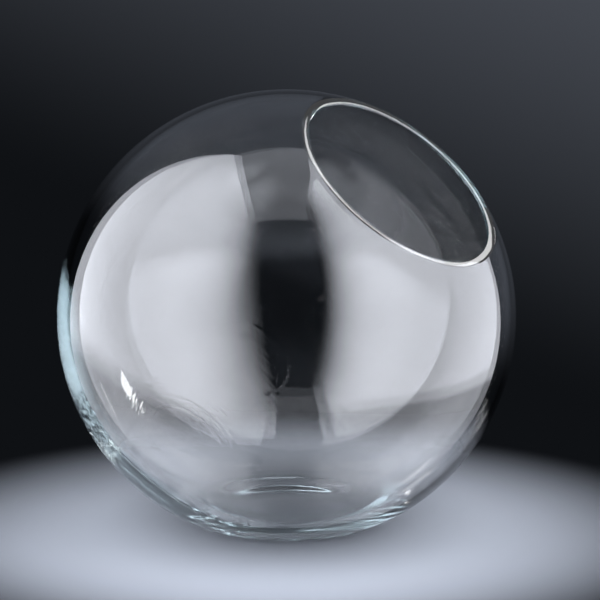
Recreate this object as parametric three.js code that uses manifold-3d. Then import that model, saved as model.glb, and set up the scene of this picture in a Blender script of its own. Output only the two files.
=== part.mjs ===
import * as THREE from 'three';
import { mergeVertices } from 'three/addons/utils/BufferGeometryUtils.js';
import Module from 'manifold-3d';

// A clear blown-glass globe bowl with a slant-cut mouth.
// Millimetres and degrees. The table is z = 0 and the mouth leans toward +X.

// Globe
const globeWidth = 200;
const globeTall = 198; // full height of the globe if its foot were still round
const bowlHeight = 190; // table to crown

// Mouth and lip
const mouthLean = 42.2; // mouth axis from upright
const mouthWidth = 97.2; // across the outer edge of the cut lip
const lipRound = 0.9; // polished nose on the inner edge of the lip

// Wall
const sideWall = 4.9; // a quarter turn away from the mouth axis
const cavityShift = 2.45; // cavity centre toward the mouth: thin lip, heavy end opposite

// Foot
const floorThickness = 6;
const bearingRadius = 32; // outer edge of the flat ring that touches the table
const heelRadius = 40; // rounding from the flat ring up into the globe
const kickRadius = 25; // hollow under the floor
const kickHeight = 2.5;

// Facet steps
const turnSteps = 64;
const arcStep = 5.6;
const noseStep = 30;
const footStep = 6.5;

const wasm = await Module();
wasm.setup();

const radians = THREE.MathUtils.degToRad;
const globeRadius = globeWidth / 2;
const cavityRadius = globeRadius - sideWall;
const settle = globeTall / globeWidth;
const centreHeight = bowlHeight - globeTall / 2;

// Points along a circle in the profile plane, both ends included; angles run from the +radius side.
function arc(centreRadius, centreHeightOnAxis, radius, fromAngle, toAngle, step) {
  const count = Math.max(2, Math.ceil(Math.abs(toAngle - fromAngle) / radians(step)));
  const points = [];
  for (let i = 0; i <= count; i += 1) {
    const angle = fromAngle + ((toAngle - fromAngle) * i) / count;
    const across = centreRadius + radius * Math.cos(angle);
    const along = centreHeightOnAxis + radius * Math.sin(angle);
    points.push(new THREE.Vector2(Math.max(0, across), along));
  }
  return points;
}

// Turns a profile about the upright axis.
function turned(points) {
  const geometry = new THREE.LatheGeometry(points, turnSteps);
  geometry.rotateX(Math.PI / 2);
  return geometry;
}

// Closed body of a geometry, ready to be joined or cut.
function bodyOf(geometry) {
  geometry.deleteAttribute('normal');
  geometry.deleteAttribute('uv');
  const welded = mergeVertices(geometry);
  const corners = welded.index.array;
  const triangles = [];
  for (let i = 0; i < corners.length; i += 3) {
    const triangle = corners.slice(i, i + 3);
    if (new Set(triangle).size === 3) {
      triangles.push(...triangle);
    }
  }
  const vertProperties = new Float32Array(welded.attributes.position.array);
  const triVerts = new Uint32Array(triangles);
  return new wasm.Manifold(new wasm.Mesh({ numProp: 3, vertProperties, triVerts }));
}

function geometryOf(body) {
  const mesh = body.getMesh();
  const geometry = new THREE.BufferGeometry();
  geometry.setAttribute('position', new THREE.BufferAttribute(mesh.vertProperties, 3));
  geometry.setIndex(new THREE.BufferAttribute(mesh.triVerts, 1));
  geometry.computeVertexNormals();
  return geometry;
}

// Leans a body turned about the globe's centre, settles it and stands it at its height.
function placeInGlobe(geometry) {
  geometry.rotateY(radians(mouthLean));
  geometry.scale(1, 1, settle);
  geometry.translate(0, 0, centreHeight);
  return geometry;
}

// Blown wall: outer sphere, flat cut lip with a rounded inner nose, inner sphere nearer the mouth.
function wallGeometry() {
  const lipRadius = mouthWidth / 2;
  const lipAngle = Math.acos(lipRadius / globeRadius);
  const lipHeight = globeRadius * Math.sin(lipAngle);
  const noseHeight = lipHeight - lipRound;
  const noseReach = cavityRadius + lipRound;
  const noseAngle = Math.asin((noseHeight - cavityShift) / noseReach);
  const noseRadius = noseReach * Math.cos(noseAngle);
  const down = -Math.PI / 2;
  const up = Math.PI / 2;
  const outer = arc(0, 0, globeRadius, down, lipAngle, arcStep);
  const nose = arc(noseRadius, noseHeight, lipRound, up, Math.PI + noseAngle, noseStep);
  const inner = arc(0, cavityShift, cavityRadius, noseAngle, down, arcStep);
  return placeInGlobe(turned([...outer, ...nose, ...inner.slice(1)]));
}

// Ball that ends inside the wall; it fills the foot without reaching the outer face.
function fillGeometry() {
  const middleRadius = globeRadius - sideWall / 2;
  return placeInGlobe(turned(arc(0, 0, middleRadius, -Math.PI / 2, Math.PI / 2, arcStep)));
}

// Plate with a low hump that the soft globe stood on: it shapes the foot from below.
function plateGeometry(lift) {
  const plateDepth = globeRadius;
  const heelSweep = Math.atan2(bearingRadius, centreHeight - heelRadius);
  const down = -Math.PI / 2;
  const heel = arc(bearingRadius, heelRadius, heelRadius, down + heelSweep, down, footStep);
  const humpRadius = (kickRadius ** 2 + kickHeight ** 2) / (2 * kickHeight);
  const humpCentre = kickHeight - humpRadius;
  const humpEdge = Math.atan2(-humpCentre, kickRadius);
  const hump = arc(0, humpCentre, humpRadius, humpEdge, Math.PI / 2, footStep / 2);
  const base = [new THREE.Vector2(0, -plateDepth), new THREE.Vector2(heel[0].x, -plateDepth)];
  const geometry = turned([...base, ...heel, ...hump]);
  geometry.translate(0, 0, lift);
  return geometry;
}

function bowlGeometry() {
  const floor = bodyOf(fillGeometry()).intersect(bodyOf(plateGeometry(floorThickness)));
  const blown = bodyOf(wallGeometry()).add(floor);
  return geometryOf(blown.subtract(bodyOf(plateGeometry(0))));
}

function clearGlass() {
  return new THREE.MeshStandardMaterial({ color: '#d3e8e4', roughness: 0.03, metalness: 0 });
}

const bowl = new THREE.Mesh(bowlGeometry(), clearGlass());
bowl.name = 'glass_bowl';

const vase = new THREE.Group();
vase.name = 'slant_cut_globe_vase';
vase.add(bowl);

export default vase;
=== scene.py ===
import math

import bpy
import numpy as np
from mathutils import Matrix, Vector


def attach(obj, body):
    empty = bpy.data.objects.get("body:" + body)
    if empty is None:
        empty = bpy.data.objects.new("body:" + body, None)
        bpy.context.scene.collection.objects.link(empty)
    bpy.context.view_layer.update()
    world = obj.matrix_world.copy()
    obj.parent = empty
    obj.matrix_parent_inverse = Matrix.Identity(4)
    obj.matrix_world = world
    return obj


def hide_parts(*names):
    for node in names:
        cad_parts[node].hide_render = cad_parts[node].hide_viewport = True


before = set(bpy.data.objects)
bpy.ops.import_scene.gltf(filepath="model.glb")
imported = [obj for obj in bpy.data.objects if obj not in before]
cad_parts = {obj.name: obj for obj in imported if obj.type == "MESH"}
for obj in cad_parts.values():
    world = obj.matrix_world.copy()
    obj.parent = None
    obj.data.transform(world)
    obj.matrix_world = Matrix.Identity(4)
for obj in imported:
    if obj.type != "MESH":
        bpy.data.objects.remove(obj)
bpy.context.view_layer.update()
print("frame loaded:", sorted(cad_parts))

mm = 0.001


def linear(hexText):
    parts = [int(hexText[i:i + 2], 16) / 255 for i in (1, 3, 5)]
    return [c / 12.92 if c <= 0.04045 else ((c + 0.055) / 1.055) ** 2.4 for c in parts]


def addNode(tree, kind, inputs=None, links=None, **settings):
    node = tree.nodes.new(kind)
    for name, value in settings.items():
        setattr(node, name, value)
    for name, value in (inputs or {}).items():
        node.inputs[name].default_value = value
    for name, source in (links or {}).items():
        tree.links.new(source, node.inputs[name])
    return node


def newMaterial(name):
    material = bpy.data.materials.new(name)
    material.use_nodes = True
    material.node_tree.nodes.clear()
    return material, material.node_tree


# camera, set from the outline of the globe and the ellipse of the mouth
shot = {
    "azimuth": 35.36,  # degrees, 0 looks along +Y
    "elevation": 9.81,
    "distance": 1100.0,  # lens to the globe's centre, mm
    "pixelFocal": 2516.2,  # for a 600 pixel wide frame
    "centrePixel": (286.7, 316.5),  # where the globe's centre falls in the frame
    "framePixels": 600.0,
    "sensor": 36.0,
    "globeCentre": 91.0,  # mm above the table
}


def cameraAxes(spec):
    a, e = math.radians(spec["azimuth"]), math.radians(spec["elevation"])
    back = Vector((math.sin(a) * math.cos(e), -math.cos(a) * math.cos(e), math.sin(e)))
    right = Vector((math.cos(a), math.sin(a), 0.0))
    return right, back.cross(right), back


def makeCamera(spec):
    right, up, back = cameraAxes(spec)
    half = spec["framePixels"] / 2
    across = (spec["centrePixel"][0] - half) / spec["pixelFocal"] * spec["distance"]
    above = (half - spec["centrePixel"][1]) / spec["pixelFocal"] * spec["distance"]
    centre = Vector((0.0, 0.0, spec["globeCentre"]))
    place = centre + back * spec["distance"] - right * across - up * above
    data = bpy.data.cameras.new("studioCamera")
    data.sensor_width = spec["sensor"]
    data.lens = spec["pixelFocal"] * spec["sensor"] / spec["framePixels"]
    data.clip_start, data.clip_end = 0.05, 50.0  # m
    camera = bpy.data.objects.new("studioCamera", data)
    axes = Matrix((right, up, back)).transposed().to_4x4()
    camera.matrix_world = Matrix.Translation(place * mm) @ axes
    bpy.context.collection.objects.link(camera)
    bpy.context.scene.camera = camera


makeCamera(shot)
print("camera set")

# the blown globe, in mm: close to the solid's sizes, with a softer foot and the marks of blowing
bowl = {
    "globeWidth": 200.0,
    "globeTall": 198.0,
    "height": 190.0,
    "mouthLean": 42.2,
    "mouthWidth": 98.4,
    "lipNose": 0.65,  # polished inner edge of the lip
    "lipShoulder": 0.25,  # crisper outer edge of the lip
    "sideWall": 4.9,
    "cavityShift": 2.45,
    "floorLevel": 8.5,  # inside, above the table
    "kickRadius": 36.0,
    "kickHeight": 3.0,
    "heavyEnd": (1.6, 40.0),  # extra glass opposite the mouth, mm, and how far it spreads, degrees
    "heelBlend": 2.2,  # how softly the globe turns into the flat foot
    "floorBlend": 6.0,
    "turnSteps": 256,
    "arcStep": 1.5,  # degrees along the profile
    "rippleStep": 0.3,
    "rippleMargin": 2.0,  # fine steps go on this far past the last ring
    "lipSteps": (12.0, 15.0),  # degrees between points on the lip's shoulder and nose
    # rings inside, about the heavy end: depth in mm, zone and its soft edge in degrees,
    # then for each set (mm apart, share, lobes, wander)
    "chillRings": {"depth": 0.032, "zone": (11.0, 20.6), "soft": 0.8,
                   "rings": ((2.0, 0.6, 23, 0.4), (2.9, 1.0, 17, 0.3), (4.3, 1.0, 11, 0.3))},
    "flowRings": {"depth": 0.005, "zone": (31.0, 55.0), "soft": 1.6,
                  "rings": ((2.2, 0.5, 3, 0.6), (3.3, 0.6, 1, 0.8),
                            (5.6, 0.6, 2, 0.7), (9.7, 1.0, 1, 1.1))},
}


def arcPoints(centre, radius, fromAngle, toAngle, step):
    count = max(2, math.ceil(abs(math.degrees(toAngle - fromAngle)) / step))
    angles = np.linspace(fromAngle, toAngle, count + 1)
    return [(centre[0] + radius * math.cos(a), centre[1] + radius * math.sin(a)) for a in angles]


# half section about the mouth axis: outside from the heavy end up, over the lip, inside back down
def glassSection(spec):
    outerR = spec["globeWidth"] / 2
    innerR = outerR - spec["sideWall"]
    lipHeight = math.sqrt(outerR ** 2 - (spec["mouthWidth"] / 2) ** 2)
    shoulder, nose, shift = spec["lipShoulder"], spec["lipNose"], spec["cavityShift"]
    shoulderAngle = math.asin((lipHeight - shoulder) / (outerR - shoulder))
    shoulderAt = ((outerR - shoulder) * math.cos(shoulderAngle), lipHeight - shoulder)
    noseAngle = math.asin((lipHeight - nose - shift) / (innerR + nose))
    noseAt = ((innerR + nose) * math.cos(noseAngle), lipHeight - nose)
    quarter = math.pi / 2
    rippled = math.radians(spec["flowRings"]["zone"][1] + spec["rippleMargin"]) - quarter
    outer = arcPoints((0, 0), outerR, -quarter, shoulderAngle, spec["arcStep"])
    shoulderStep, noseStep = spec["lipSteps"]
    lip = arcPoints(shoulderAt, shoulder, shoulderAngle, quarter, shoulderStep)[1:]
    lip += arcPoints(noseAt, nose, quarter, math.pi + noseAngle, noseStep)
    inner = arcPoints((0, shift), innerR, noseAngle, rippled, spec["arcStep"])[1:]
    inner += arcPoints((0, shift), innerR, rippled, -quarter, spec["rippleStep"])[1:]
    return outer, lip, inner


# shallow rings about the heavy end, wandering as they go round
def rippleHeight(group, polar, turn, radius):
    arc = polar * radius
    first, last = [(np.degrees(polar) - edge) / group["soft"] for edge in group["zone"]]
    envelope = (1 + np.tanh(first)) * (1 - np.tanh(last)) / 4
    wave, overtone = 0.0, 0.6  # the overtone keeps the wander from repeating
    for spacing, share, lobes, wander in group["rings"]:
        sway = np.sin(lobes * turn + spacing) + overtone * np.sin((2 * lobes + 1) * turn + 2 * spacing)
        wave = wave + share * np.sin(2 * math.pi * arc / spacing + wander * sway)
    return group["depth"] * envelope * wave


def smoothMax(a, b, width):
    reach = np.maximum(width - np.abs(a - b), 0.0) / width
    return np.maximum(a, b) + reach ** 2 * width / 4


def pressFoot(points, inside, spec):
    radius = np.hypot(points[:, 0], points[:, 1])
    dome = np.clip(1 - (radius / spec["kickRadius"]) ** 2, 0, 1) ** 2 * spec["kickHeight"]
    low = points[:, 2] < spec["globeTall"] / 4  # only the lowest quarter is pressed
    floorLevel = np.where(inside, spec["floorLevel"], dome)
    width = np.where(inside, spec["floorBlend"], spec["heelBlend"])
    pressed = smoothMax(points[:, 2], floorLevel, width)
    points[:, 2] = np.where(low, pressed, points[:, 2])
    return points


def makeBowl(spec):
    outer, lip, inner = glassSection(spec)
    section = np.array(outer + lip + inner)
    inside = np.arange(len(section)) >= len(outer) + len(lip)
    turns = spec["turnSteps"]
    turn = np.linspace(0, 2 * math.pi, turns, endpoint=False)[None, :]
    across = np.repeat(section[:, :1], turns, axis=1)
    along = np.repeat(section[:, 1:], turns, axis=1)
    innerR = spec["globeWidth"] / 2 - spec["sideWall"]
    polar = np.arctan2(across[inside], spec["cavityShift"] - along[inside])
    lift = sum(rippleHeight(spec[name], polar, turn, innerR) for name in ("chillRings", "flowRings"))
    extra, spread = spec["heavyEnd"]
    lift -= extra * np.exp(-(polar / math.radians(spread)) ** 2)
    across[inside] += lift * np.sin(polar)
    along[inside] -= lift * np.cos(polar)
    grid = np.stack([across * np.cos(turn), across * np.sin(turn), along], axis=2)
    points = np.vstack([grid[0, :1], grid[1:-1].reshape(-1, 3), grid[-1, :1]])
    insidePoint = np.concatenate([inside[:1], np.repeat(inside[1:-1], turns), inside[-1:]])

    lean = math.radians(spec["mouthLean"])
    x = points[:, 0] * math.cos(lean) + points[:, 2] * math.sin(lean)
    z = -points[:, 0] * math.sin(lean) + points[:, 2] * math.cos(lean)
    z = z * spec["globeTall"] / spec["globeWidth"] + spec["height"] - spec["globeTall"] / 2
    points = pressFoot(np.stack([x, points[:, 1], z], axis=1), insidePoint, spec)

    ringCount = len(section) - 2
    faces = [(0, 1 + (t + 1) % turns, 1 + t) for t in range(turns)]
    for ring in range(ringCount - 1):
        a, b = 1 + ring * turns, 1 + (ring + 1) * turns
        faces += [(a + t, a + (t + 1) % turns, b + (t + 1) % turns, b + t) for t in range(turns)]
    last, end = 1 + (ringCount - 1) * turns, len(points) - 1
    faces += [(last + t, last + (t + 1) % turns, end) for t in range(turns)]

    mesh = bpy.data.meshes.new("blownGlassBowl")
    mesh.from_pydata((points * mm).tolist(), [], faces)
    mesh.validate()
    mesh.shade_smooth()
    piece = bpy.data.objects.new("blownGlassBowl", mesh)
    bpy.context.collection.objects.link(piece)
    return piece


glassSkin = {
    "colour": "#ffffff",
    "tint": "#006f77",  # what is left of white light deep in the glass
    "density": 5.4,
    "mouthLean": bowl["mouthLean"],
    "drawn": 1.8,  # swells are drawn out round the globe
    "swell": (24.0, 0.012),  # mm across and mm deep
    "peel": (3.0, 0.0004),
}


# soda-lime glass, blown and fire-polished: clear, mirror-smooth, blue-green only where it is thick
def blownSodaLimeGlass(spec):
    material, tree = newMaterial("sodaLimeGlassBlown")
    place = addNode(tree, "ShaderNodeTexCoord").outputs["Object"]
    lean = (0.0, -math.radians(spec["mouthLean"]), 0.0)
    (swellWide, swellDeep), (peelWide, peelDeep) = spec["swell"], spec["peel"]
    onAxis = addNode(tree, "ShaderNodeMapping", {"Rotation": lean, "Scale": (1.0, 1.0, spec["drawn"])},
                     {"Vector": place})
    swell = addNode(tree, "ShaderNodeTexNoise", {"Scale": 1 / (swellWide * mm), "Detail": 1.0},
                    {"Vector": onAxis.outputs["Vector"]})
    peel = addNode(tree, "ShaderNodeTexNoise", {"Scale": 1 / (peelWide * mm), "Detail": 2.0},
                   {"Vector": onAxis.outputs["Vector"]})
    skin = addNode(tree, "ShaderNodeMath", {1: peelDeep / swellDeep},
                   {0: peel.outputs["Fac"], 2: swell.outputs["Fac"]}, operation="MULTIPLY_ADD")
    wavy = addNode(tree, "ShaderNodeBump", {"Strength": 1.0, "Distance": swellDeep * mm},
                   {"Height": skin.outputs["Value"]})
    shader = addNode(tree, "ShaderNodeBsdfPrincipled", {
        "Base Color": (*linear(spec["colour"]), 1.0),
        "Roughness": 0.0,
        "IOR": 1.52,
        "Transmission Weight": 1.0,
    }, {"Normal": wavy.outputs["Normal"]})
    absorb = addNode(tree, "ShaderNodeVolumeAbsorption", {
        "Color": (*linear(spec["tint"]), 1.0),
        "Density": spec["density"],
    })
    addNode(tree, "ShaderNodeOutputMaterial", links={
        "Surface": shader.outputs["BSDF"],
        "Volume": absorb.outputs["Volume"],
    })
    return material


glassBowl = makeBowl(bowl)
glassBowl.data.materials.append(blownSodaLimeGlass(glassSkin))
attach(glassBowl, "root")
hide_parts("glass_bowl")
print("glass bowl made:", len(glassBowl.data.polygons), "faces")

# round table top, pale enamelled steel, painted pale in a pool about the globe and painted dark toward
# its rim, a painted falloff of light that loses it in the backdrop
table = {
    "radius": 400.0,
    "steps": 96,
    "drop": 0.2,  # a hair below the foot, so that the two never share a plane
    "pale": (80.0, 190.0),  # a painted pool of light: pale to the first, painted dark by the second, lost in the backdrop at its rim
    "forward": 12.0,  # the middle of the painted pool of light lies this far toward the lens
    "colour": "#94989e",
    # painted shade: the dark that the table is painted toward its rim, standing in for light falling off
    "paintedDarkRim": "#0f1114",
    "roughness": (0.1, 0.15),
    "glaze": 3.6,  # IOR, high for a strong gloss, which counts only in what the glass mirrors
    "peel": (9.0, 0.004),  # mm across and mm deep
}


def tableMiddle(spec):
    a = math.radians(shot["azimuth"])
    return Vector((math.sin(a), -math.cos(a), 0.0)) * spec["forward"] * mm


# vitreous enamel fired on flat steel: pale and hard, with a glossy, faintly uneven skin; its colour is
# painted from pale to dark with distance from its middle, a painted falloff of light
def firedEnamel(spec):
    material, tree = newMaterial("vitreousEnamelFired")
    place = addNode(tree, "ShaderNodeNewGeometry").outputs["Position"]
    reach = addNode(tree, "ShaderNodeVectorMath", {1: tableMiddle(spec)}, {0: place},
                    operation="DISTANCE")
    # painted falloff of light: the table's own colour near its middle, the painted dark rim beyond
    fade = addNode(tree, "ShaderNodeMapRange", {
        "From Min": spec["pale"][0] * mm, "From Max": spec["pale"][1] * mm,
    }, {"Value": reach.outputs["Value"]}, interpolation_type="SMOOTHSTEP")
    across, deep = spec["peel"]
    skin = addNode(tree, "ShaderNodeTexNoise", {"Scale": 1 / (across * mm), "Detail": 3.0},
                   {"Vector": place})
    shine = addNode(tree, "ShaderNodeMapRange", {
        "To Min": spec["roughness"][0], "To Max": spec["roughness"][1],
    }, {"Value": skin.outputs["Fac"]})
    peel = addNode(tree, "ShaderNodeBump", {"Strength": 1.0, "Distance": deep * mm},
                   {"Height": skin.outputs["Fac"]})
    ray = addNode(tree, "ShaderNodeLightPath")
    mirrored = addNode(tree, "ShaderNodeMath", {1: 0.5}, {0: ray.outputs["Glossy Depth"]},
                       operation="GREATER_THAN")  # 1 once the glass has mirrored the ray
    pale = {"Base Color": (*linear(spec["colour"]), 1.0)}
    fromPeel = {"Roughness": shine.outputs["Result"], "Normal": peel.outputs["Normal"]}
    satin = addNode(tree, "ShaderNodeBsdfPrincipled", {**pale, "Specular IOR Level": 0.0}, fromPeel)
    gloss = addNode(tree, "ShaderNodeBsdfPrincipled", {**pale, "IOR": spec["glaze"]}, fromPeel)
    surface = addNode(tree, "ShaderNodeMixShader", links={
        0: mirrored.outputs["Value"], 1: satin.outputs["BSDF"], 2: gloss.outputs["BSDF"],
    })
    # painted shade: a dark glow where the light on the table would fall off, seen wherever no glass has
    # mirrored the ray
    dark = addNode(tree, "ShaderNodeEmission", {"Color": (*linear(spec["paintedDarkRim"]), 1.0)})
    gone = addNode(tree, "ShaderNodeBsdfTransparent")
    lost = addNode(tree, "ShaderNodeMapRange", {
        "From Min": spec["pale"][1] * mm, "From Max": spec["radius"] * mm,
    }, {"Value": reach.outputs["Value"]}, interpolation_type="SMOOTHSTEP")
    clear = addNode(tree, "ShaderNodeMath", links={
        0: mirrored.outputs["Value"], 1: lost.outputs["Result"],
    }, operation="MAXIMUM")
    paintedDarkRim = addNode(tree, "ShaderNodeMixShader", links={
        0: clear.outputs["Value"], 1: dark.outputs["Emission"], 2: gone.outputs["BSDF"],
    })
    mixed = addNode(tree, "ShaderNodeMixShader", links={
        0: fade.outputs["Result"], 1: surface.outputs["Shader"], 2: paintedDarkRim.outputs["Shader"],
    })
    addNode(tree, "ShaderNodeOutputMaterial", links={"Surface": mixed.outputs["Shader"]})
    return material


def makeTable(spec):
    steps, radius = spec["steps"], spec["radius"] * mm
    turns = [2 * math.pi * t / steps for t in range(steps)]
    ring = [(radius * math.cos(turn), radius * math.sin(turn), 0.0) for turn in turns]
    mesh = bpy.data.meshes.new("tableTop")
    mesh.from_pydata(ring, [], [tuple(range(steps))])
    mesh.materials.append(firedEnamel(spec))
    top = bpy.data.objects.new("tableTop", mesh)
    top.location = tableMiddle(spec) - Vector((0.0, 0.0, spec["drop"] * mm))
    bpy.context.collection.objects.link(top)


makeTable(table)
print("table set")

# a white cloth close on each side of the globe, a grey one above, one small bare lamp behind,
# and a strip and a small cloth for the lip
# places are (right of the globe, toward the lens, above the table), in mm
# a hem is its level beside the globe, its fall per mm toward the lens and per mm squared, its soft edge
studio = {
    "cloth": "#f2f5ff",
    "leftWall": {"right": -240, "along": (-110, 660), "tall": (-900, 830), "fade": 520, "radiance": 4.7,
                 "hem": (25, 0.35, 0.0016, 22)},
    "rightWall": {"right": 310, "along": (-158, 980), "tall": (-500, 2050), "fade": 800, "radiance": 4.3,
                  "hem": (-47, 0.2, 0.00065, 10)},
    "underHem": 0.38,  # share of light left below the hem
    "backEdge": {"share": 0.6, "reach": 190},  # each cloth is dimmer where it ends behind the globe
    "crown": {"share": 1.16, "rise": (120, 290)},  # and brighter higher up
    "ceiling": {"above": 2500, "along": (-500, 1500), "wide": 3200, "radiance": 0.8},
    "lamp": {"place": (489, -555, 242), "size": (105, 80), "radiance": 28.0},
    "lipStrip": {"place": (337, -284, 449), "size": (145, 42), "roll": 54, "radiance": 5.0},
    "lipCloth": {"place": (345, -300, 460), "size": (240, 240), "roll": 0, "radiance": 0.4},
    "lip": (47.7, 33.8, 155.5),  # the strip and the cloth face it
    "backdrop": ("#0f1114", "#4b4f57"),
    "backdropWay": (0.42, -0.3, 1.0),  # it lightens to the right, behind and up
    "backdropRise": (0.125, 0.365),
    "bounces": 32,  # light runs round inside the wall of the globe before it leaves at the edge
}


def studioPoint(right, front, above):
    a = math.radians(shot["azimuth"])
    across = Vector((math.cos(a), math.sin(a), 0.0))
    toLens = Vector((math.sin(a), -math.cos(a), 0.0))
    return (across * right + toLens * front + Vector((0.0, 0.0, above))) * mm


def addAreaLight(name, place, aim, size, radiance, roll=0.0, throughGlass=True):
    width, height = size[0] * mm, size[1] * mm
    data = bpy.data.lights.new(name, "AREA")
    data.shape = "RECTANGLE"
    data.size, data.size_y = width, height
    data.energy = radiance * math.pi * width * height  # watts that give this radiance
    light = bpy.data.objects.new(name, data)
    back = (place - aim).normalized()
    right = Vector((0.0, 0.0, 1.0)).cross(back).normalized()
    axes = Matrix((right, back.cross(right), back)).transposed().to_4x4()
    light.matrix_world = Matrix.Translation(place) @ axes @ Matrix.Rotation(math.radians(roll), 4, "Z")
    light.visible_camera = False
    light.visible_transmission = throughGlass
    bpy.context.collection.objects.link(light)
    return data


# cotton cloth, closely woven and lit from behind: an even white that falls off toward its ends
# it shows only where the glass mirrors it
def wovenCotton(wall, spec):
    material, tree = newMaterial("cottonClothWoven")
    spot = addNode(tree, "ShaderNodeNewGeometry")
    along = addNode(tree, "ShaderNodeVectorMath", {1: studioPoint(0, 1 / mm, 0)},
                    {0: spot.outputs["Position"]}, operation="DOT_PRODUCT").outputs["Value"]
    back, front = wall["along"]
    edge = spec["backEdge"]
    rise = addNode(tree, "ShaderNodeMapRange", {
        "From Min": back * mm, "From Max": (back + edge["reach"]) * mm, "To Min": edge["share"],
    }, {"Value": along})
    fall = addNode(tree, "ShaderNodeMapRange", {
        "From Min": front * mm, "From Max": (front - wall["fade"]) * mm,
    }, {"Value": along}, interpolation_type="SMOOTHSTEP")
    share = addNode(tree, "ShaderNodeMath", links={
        0: rise.outputs["Result"], 1: fall.outputs["Result"],
    }, operation="MULTIPLY")
    level, slant, sag, soft = wall["hem"]
    apart = addNode(tree, "ShaderNodeSeparateXYZ", links={0: spot.outputs["Position"]})
    steep = addNode(tree, "ShaderNodeMath", {1: sag / mm, 2: slant}, {0: along},
                    operation="MULTIPLY_ADD")
    over = addNode(tree, "ShaderNodeMath", links={
        0: along, 1: steep.outputs["Value"], 2: apart.outputs["Z"],
    }, operation="MULTIPLY_ADD")
    hem = addNode(tree, "ShaderNodeMapRange", {
        "From Min": (level - soft) * mm, "From Max": (level + soft) * mm,
        "To Min": spec["underHem"] * wall["radiance"], "To Max": wall["radiance"],
    }, {"Value": over.outputs["Value"]}, interpolation_type="SMOOTHSTEP")
    hung = addNode(tree, "ShaderNodeMath", links={0: share.outputs["Value"], 1: hem.outputs["Result"]},
                   operation="MULTIPLY")
    low, high = spec["crown"]["rise"]
    crown = addNode(tree, "ShaderNodeMapRange", {
        "From Min": low * mm, "From Max": high * mm, "To Min": 1.0, "To Max": spec["crown"]["share"],
    }, {"Value": apart.outputs["Z"]}, interpolation_type="SMOOTHSTEP")
    lit = addNode(tree, "ShaderNodeMath", links={0: hung.outputs["Value"], 1: crown.outputs["Result"]},
                  operation="MULTIPLY")
    glow = addNode(tree, "ShaderNodeEmission", {"Color": (*linear(spec["cloth"]), 1.0)},
                   {"Strength": lit.outputs["Value"]})
    ray = addNode(tree, "ShaderNodeLightPath")
    straight = addNode(tree, "ShaderNodeMath", {1: 0.5}, {0: ray.outputs["Glossy Depth"]},
                       operation="LESS_THAN")  # 1 until the glass has mirrored the ray
    direct = addNode(tree, "ShaderNodeMath", links={
        0: ray.outputs["Is Transmission Ray"],
        1: straight.outputs["Value"],
        2: ray.outputs["Is Camera Ray"],
    }, operation="MULTIPLY_ADD")
    hidden = addNode(tree, "ShaderNodeMath", links={
        0: direct.outputs["Value"], 1: spot.outputs["Backfacing"],
    }, operation="MAXIMUM")
    gone = addNode(tree, "ShaderNodeBsdfTransparent")
    mixed = addNode(tree, "ShaderNodeMixShader", links={
        0: hidden.outputs["Value"], 1: glow.outputs["Emission"], 2: gone.outputs["BSDF"],
    })
    addNode(tree, "ShaderNodeOutputMaterial", links={"Surface": mixed.outputs["Shader"]})
    return material


def hangCloth(name, wall, spec):
    (back, front), (low, high) = wall["along"], wall["tall"]
    corners = [(back, low), (back, high), (front, high), (front, low)]
    if wall["right"] > 0:
        corners.reverse()  # its face is toward the globe
    mesh = bpy.data.meshes.new(name)
    places = [studioPoint(wall["right"], along, above) for along, above in corners]
    mesh.from_pydata(places, [], [(0, 1, 2, 3)])
    mesh.materials.append(wovenCotton(wall, spec))
    sheet = bpy.data.objects.new(name, mesh)
    sheet.visible_shadow = False
    bpy.context.collection.objects.link(sheet)


def makeBackdrop(spec):
    world = bpy.data.worlds.new("studioDark")
    world.use_nodes = True
    tree = world.node_tree
    sight = addNode(tree, "ShaderNodeTexCoord")
    way = studioPoint(*spec["backdropWay"]) / mm
    height = addNode(tree, "ShaderNodeVectorMath", {1: way}, {0: sight.outputs["Generated"]},
                     operation="DOT_PRODUCT")
    low, high = spec["backdropRise"]
    rise = addNode(tree, "ShaderNodeMapRange", {"From Min": low, "From Max": high},
                   {"Value": height.outputs["Value"]}, interpolation_type="SMOOTHSTEP")
    dark, light = [(*linear(colour), 1.0) for colour in spec["backdrop"]]
    shade = addNode(tree, "ShaderNodeMix", {"A": dark, "B": light}, {"Factor": rise.outputs["Result"]},
                    data_type="RGBA")
    tree.links.new(shade.outputs["Result"], tree.nodes["Background"].inputs["Color"])
    bpy.context.scene.world = world


def makeStudio(spec):
    for name in ("leftWall", "rightWall"):
        hangCloth(name, spec[name], spec)
    ceiling, lamp = spec["ceiling"], spec["lamp"]
    back, front = ceiling["along"]
    middle = (back + front) / 2
    hair = 0.01  # aimed a hair forward, so that its sides run with the cloths
    data = addAreaLight("ceiling", studioPoint(0, middle, ceiling["above"]),
                        studioPoint(0, middle + hair, 0), (ceiling["wide"], front - back),
                        ceiling["radiance"])
    data.color = linear(spec["cloth"])
    globe = studioPoint(0, 0, shot["globeCentre"])
    addAreaLight("bareLamp", studioPoint(*lamp["place"]), globe, lamp["size"], lamp["radiance"])
    for name in ("lipStrip", "lipCloth"):
        soft = spec[name]
        addAreaLight(name, studioPoint(*soft["place"]), studioPoint(*spec["lip"]), soft["size"],
                     soft["radiance"], soft["roll"], throughGlass=False)
    cycles = bpy.context.scene.cycles
    cycles.max_bounces = cycles.glossy_bounces = cycles.transmission_bounces = spec["bounces"]


makeBackdrop(studio)
makeStudio(studio)
bpy.context.scene.view_settings.view_transform = "Standard"
print("studio lit")
